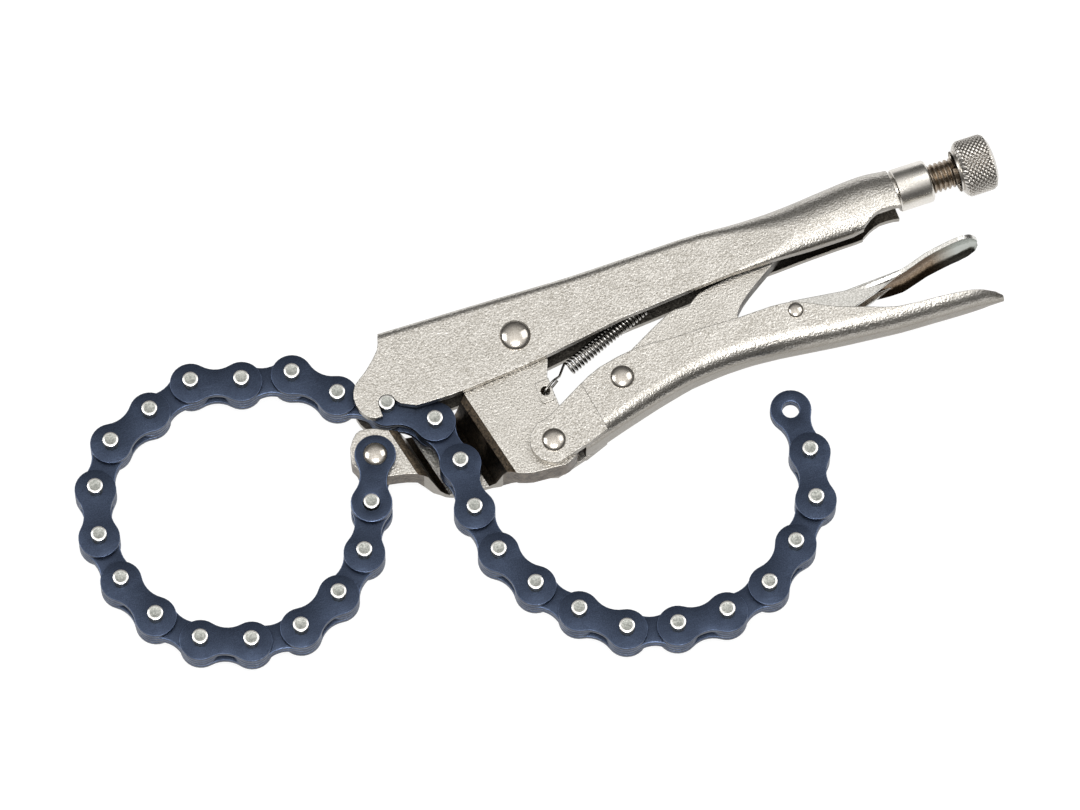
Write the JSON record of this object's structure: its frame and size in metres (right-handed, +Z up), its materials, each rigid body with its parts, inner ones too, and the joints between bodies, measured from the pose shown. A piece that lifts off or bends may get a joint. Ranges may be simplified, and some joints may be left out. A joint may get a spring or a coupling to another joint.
{
  "type": "chain clamp",
  "caption": "Locking pliers that clamp round work with a roller-less chain: toggle handles, adjusting screw, release lever, return spring and hooked chain.",
  "frame": {"origin": "centre of the bounding box's base, under the tool as it lies on its side", "axes": "+X along the adjusting screw towards the knob, +Y from the lower handle towards the upper handle, +Z up along every rivet and chain pin"},
  "size_m": [0.3134, 0.1388, 0.0203],
  "materials": {
    "satin_nickel": "satin nickel plate with a fine grain",
    "polished_steel": "domed and polished",
    "blued_steel": "blue-black heat-treated steel, satin",
    "spring_steel": "bright drawn wire"
  },
  "bodies": {
    "upper_handle": {"upper_handle": "satin_nickel", "threaded_collar": "satin_nickel", "jaw_rivet": "polished_steel", "jaw_spring": "spring_steel"},
    "jaw": {"lower_jaw": "satin_nickel", "chain_rivet": "polished_steel"},
    "lower_handle": {"lower_handle": "satin_nickel", "lever_pivot_rivet": "polished_steel", "link_pivot_rivet": "polished_steel", "release_rivet": "polished_steel"},
    "toggle_link": {"toggle_link": "satin_nickel"},
    "release_lever": {"release_lever": "satin_nickel"},
    "screw": {"screw_rod": "satin_nickel"},
    "knob": {"screw_knob": "satin_nickel"},
    "chain_00": {"first_link_near_plate": "blued_steel", "first_link_far_plate": "blued_steel"},
    "chain_01": {"outer_link_01": "blued_steel"},
    "chain_02": {"inner_link_02": "blued_steel"},
    "chain_03": {"outer_link_03": "blued_steel"},
    "chain_04": {"inner_link_04": "blued_steel"},
    "chain_05": {"outer_link_05": "blued_steel"},
    "chain_06": {"inner_link_06": "blued_steel"},
    "chain_07": {"outer_link_07": "blued_steel"},
    "chain_08": {"inner_link_08": "blued_steel"},
    "chain_09": {"outer_link_09": "blued_steel"},
    "chain_10": {"inner_link_10": "blued_steel"},
    "chain_11": {"outer_link_11": "blued_steel"},
    "chain_12": {"inner_link_12": "blued_steel"},
    "chain_13": {"outer_link_13": "blued_steel"},
    "chain_14": {"inner_link_14": "blued_steel"},
    "chain_15": {"outer_link_15": "blued_steel"},
    "chain_16": {"inner_link_16": "blued_steel"},
    "chain_17": {"outer_link_17": "blued_steel"},
    "chain_18": {"inner_link_18": "blued_steel"},
    "chain_19": {"outer_link_19": "blued_steel"},
    "chain_20": {"inner_link_20": "blued_steel"},
    "chain_21": {"outer_link_21": "blued_steel"},
    "chain_22": {"inner_link_22": "blued_steel"},
    "chain_23": {"outer_link_23": "blued_steel"},
    "chain_24": {"inner_link_24": "blued_steel"},
    "chain_25": {"outer_link_25": "blued_steel"},
    "chain_26": {"inner_link_26": "blued_steel"},
    "chain_27": {"outer_link_27": "blued_steel"},
    "chain_28": {"inner_link_28": "blued_steel"},
    "chain_29": {"outer_link_29": "blued_steel"},
    "chain_30": {"inner_link_30": "blued_steel"}
  },
  "joints": [
    {"name": "jaw_opening", "type": "hinge", "parent": "upper_handle", "child": "jaw", "pos_m": [-0.00664, 0.04362, 0.0109], "axis": [0, 0, 1], "range_deg": [0, 14], "deforming": ["jaw_spring"]},
    {"name": "lower_handle_pivot", "type": "hinge", "parent": "jaw", "child": "lower_handle", "pos_m": [-0.00664, 0.00692, 0.0109], "axis": [0, 0, 1], "range_deg": [-52, 0]},
    {"name": "toggle_link_pivot", "type": "hinge", "parent": "lower_handle", "child": "toggle_link", "pos_m": [0.02046, 0.01972, 0.0109], "axis": [0, 0, 1], "range_deg": [0, 54.8]},
    {"name": "release_lever_pivot", "type": "hinge", "parent": "lower_handle", "child": "release_lever", "pos_m": [0.07916, 0.02292, 0.0109], "axis": [0, 0, 1], "range_deg": [-6, 0]},
    {"name": "screw_travel", "type": "slide", "parent": "upper_handle", "child": "screw", "axis": [1, 0, 0], "range_m": [0, 0.01]},
    {"name": "knob_turn", "type": "hinge", "parent": "screw", "child": "knob", "pos_m": [0.15036, 0.05282, 0.0109], "axis": [1, 0, 0], "range_deg": [0, 2268]},
    {"name": "chain_pin_00", "type": "hinge", "parent": "jaw", "child": "chain_00", "pos_m": [-0.06064, 0.02102, 0.0109], "axis": [0, 0, 1], "range_deg": [-8, 10]},
    {"name": "chain_pin_01", "type": "hinge", "parent": "chain_00", "child": "chain_01", "pos_m": [-0.06685, 0.00641, 0.0109], "axis": [0, 0, 1], "range_deg": [-6, 10]},
    {"name": "chain_pin_02", "type": "hinge", "parent": "chain_01", "child": "chain_02", "pos_m": [-0.07405, -0.00773, 0.0109], "axis": [0, 0, 1], "range_deg": [-2.41, 3.95]},
    {"name": "chain_pin_03", "type": "hinge", "parent": "chain_02", "child": "chain_03", "pos_m": [-0.08603, -0.01815, 0.0109], "axis": [0, 0, 1], "range_deg": [-0.63, 0.98]},
    {"name": "chain_pin_04", "type": "hinge", "parent": "chain_03", "child": "chain_04", "pos_m": [-0.10054, -0.02461, 0.0109], "axis": [0, 0, 1], "range_deg": [-2.87, 1.76]},
    {"name": "chain_pin_05", "type": "hinge", "parent": "chain_04", "child": "chain_05", "pos_m": [-0.11639, -0.02377, 0.0109], "axis": [0, 0, 1], "range_deg": [-6.84, 4.14]},
    {"name": "chain_pin_06", "type": "hinge", "parent": "chain_05", "child": "chain_06", "pos_m": [-0.13121, -0.01809, 0.0109], "axis": [0, 0, 1], "range_deg": [-6.58, 3.99]},
    {"name": "chain_pin_07", "type": "hinge", "parent": "chain_06", "child": "chain_07", "pos_m": [-0.14183, -0.00629, 0.0109], "axis": [0, 0, 1], "range_deg": [-2.56, 1.57]},
    {"name": "chain_pin_08", "type": "hinge", "parent": "chain_07", "child": "chain_08", "pos_m": [-0.14829, 0.00821, 0.0109], "axis": [0, 0, 1], "range_deg": [-1.81, 2.94]},
    {"name": "chain_pin_09", "type": "hinge", "parent": "chain_08", "child": "chain_09", "pos_m": [-0.15022, 0.02397, 0.0109], "axis": [0, 0, 1], "range_deg": [-6.88, 11.4]},
    {"name": "chain_pin_10", "type": "hinge", "parent": "chain_09", "child": "chain_10", "pos_m": [-0.14638, 0.03937, 0.0109], "axis": [0, 0, 1], "range_deg": [-11.32, 9.07]},
    {"name": "chain_pin_11", "type": "hinge", "parent": "chain_10", "child": "chain_11", "pos_m": [-0.13705, 0.05222, 0.0109], "axis": [0, 0, 1], "range_deg": [-9.22, 11.51]},
    {"name": "chain_pin_12", "type": "hinge", "parent": "chain_11", "child": "chain_12", "pos_m": [-0.12233, 0.05816, 0.0109], "axis": [0, 0, 1], "range_deg": [-3.54, 5.84]},
    {"name": "chain_pin_13", "type": "hinge", "parent": "chain_12", "child": "chain_13", "pos_m": [-0.10724, 0.06307, 0.0109], "axis": [0, 0, 1], "range_deg": [-5.44, 3.3]},
    {"name": "chain_pin_14", "type": "hinge", "parent": "chain_13", "child": "chain_14", "pos_m": [-0.09205, 0.05843, 0.0109], "axis": [0, 0, 1], "range_deg": [-9.56, 5.77]},
    {"name": "chain_pin_15", "type": "hinge", "parent": "chain_14", "child": "chain_15", "pos_m": [-0.07647, 0.0554, 0.0109], "axis": [0, 0, 1], "range_deg": [-5.16, 3.14]},
    {"name": "chain_pin_16", "type": "hinge", "parent": "chain_15", "child": "chain_16", "pos_m": [-0.06525, 0.04417, 0.0109], "axis": [0, 0, 1], "range_deg": [-2.31, 3.78]},
    {"name": "chain_pin_17", "type": "hinge", "parent": "chain_16", "child": "chain_17", "pos_m": [-0.05178, 0.03576, 0.0109], "axis": [0, 0, 1], "range_deg": [-10.29, 8.25]},
    {"name": "chain_pin_18", "type": "hinge", "parent": "chain_17", "child": "chain_18", "pos_m": [-0.03927, 0.02599, 0.0109], "axis": [0, 0, 1], "range_deg": [-7.1, 0.1]},
    {"name": "chain_pin_19", "type": "hinge", "parent": "chain_18", "child": "chain_19", "pos_m": [-0.03624, 0.0104, 0.0109], "axis": [0, 0, 1], "range_deg": [-14.1, 0.1]},
    {"name": "chain_pin_20", "type": "hinge", "parent": "chain_19", "child": "chain_20", "pos_m": [-0.03707, -0.00545, 0.0109], "axis": [0, 0, 1], "range_deg": [-17.6, 0.1]},
    {"name": "chain_pin_21", "type": "hinge", "parent": "chain_20", "child": "chain_21", "pos_m": [-0.03459, -0.02113, 0.0109], "axis": [0, 0, 1], "range_deg": [-17.6, 0.1]},
    {"name": "chain_pin_22", "type": "hinge", "parent": "chain_21", "child": "chain_22", "pos_m": [-0.02738, -0.03527, 0.0109], "axis": [0, 0, 1], "range_deg": [-10.6, 0.1]},
    {"name": "chain_pin_23", "type": "hinge", "parent": "chain_22", "child": "chain_23", "pos_m": [-0.01739, -0.04761, 0.0109], "axis": [0, 0, 1], "range_deg": [-30, 6]},
    {"name": "chain_pin_24", "type": "hinge", "parent": "chain_23", "child": "chain_24", "pos_m": [-0.00541, -0.05802, 0.0109], "axis": [0, 0, 1], "range_deg": [-30, 6]},
    {"name": "chain_pin_25", "type": "hinge", "parent": "chain_24", "child": "chain_25", "pos_m": [0.00992, -0.06213, 0.0109], "axis": [0, 0, 1], "range_deg": [-30, 9]},
    {"name": "chain_pin_26", "type": "hinge", "parent": "chain_25", "child": "chain_26", "pos_m": [0.02577, -0.06296, 0.0109], "axis": [0, 0, 1], "range_deg": [-30, 12]},
    {"name": "chain_pin_27", "type": "hinge", "parent": "chain_26", "child": "chain_27", "pos_m": [0.04111, -0.05886, 0.0109], "axis": [0, 0, 1], "range_deg": [-30, 25]},
    {"name": "chain_pin_28", "type": "hinge", "parent": "chain_27", "child": "chain_28", "pos_m": [0.05345, -0.04887, 0.0109], "axis": [0, 0, 1], "range_deg": [-30, 30]},
    {"name": "chain_pin_29", "type": "hinge", "parent": "chain_28", "child": "chain_29", "pos_m": [0.06427, -0.03726, 0.0109], "axis": [0, 0, 1], "range_deg": [-30, 30]},
    {"name": "chain_pin_30", "type": "hinge", "parent": "chain_29", "child": "chain_30", "pos_m": [0.06784, -0.02179, 0.0109], "axis": [0, 0, 1], "range_deg": [-60, 35]}
  ],
  "couplings": [
    {"joint": "lower_handle_pivot", "follows": "jaw_opening", "ratio": -3.7},
    {"joint": "toggle_link_pivot", "follows": "jaw_opening", "ratio": 3.9},
    {"joint": "knob_turn", "follows": "screw_travel", "rad_per_m": 3957.9},
    {"joint": "chain_pin_02", "follows": "chain_pin_01", "ratio": 0.385},
    {"joint": "chain_pin_03", "follows": "chain_pin_01", "ratio": 0.0885},
    {"joint": "chain_pin_04", "follows": "chain_pin_01", "ratio": -0.2766},
    {"joint": "chain_pin_05", "follows": "chain_pin_01", "ratio": -0.674},
    {"joint": "chain_pin_06", "follows": "chain_pin_01", "ratio": -0.6485},
    {"joint": "chain_pin_07", "follows": "chain_pin_01", "ratio": -0.2457},
    {"joint": "chain_pin_08", "follows": "chain_pin_01", "ratio": 0.2844},
    {"joint": "chain_pin_09", "follows": "chain_pin_01", "ratio": 1.1305},
    {"joint": "chain_pin_10", "follows": "chain_pin_00", "ratio": -1.1218},
    {"joint": "chain_pin_11", "follows": "chain_pin_00", "ratio": 1.1406},
    {"joint": "chain_pin_12", "follows": "chain_pin_01", "ratio": 0.5738},
    {"joint": "chain_pin_13", "follows": "chain_pin_01", "ratio": -0.5341},
    {"joint": "chain_pin_14", "follows": "chain_pin_01", "ratio": -0.9456},
    {"joint": "chain_pin_15", "follows": "chain_pin_01", "ratio": -0.5061},
    {"joint": "chain_pin_16", "follows": "chain_pin_01", "ratio": 0.3684},
    {"joint": "chain_pin_17", "follows": "chain_pin_00", "ratio": -1.0188},
    {"joint": "chain_pin_18", "follows": "jaw_opening", "ratio": -0.5},
    {"joint": "chain_pin_19", "follows": "jaw_opening", "ratio": -1},
    {"joint": "chain_pin_20", "follows": "jaw_opening", "ratio": -1.25},
    {"joint": "chain_pin_21", "follows": "jaw_opening", "ratio": -1.25},
    {"joint": "chain_pin_22", "follows": "jaw_opening", "ratio": -0.75}
  ]
}
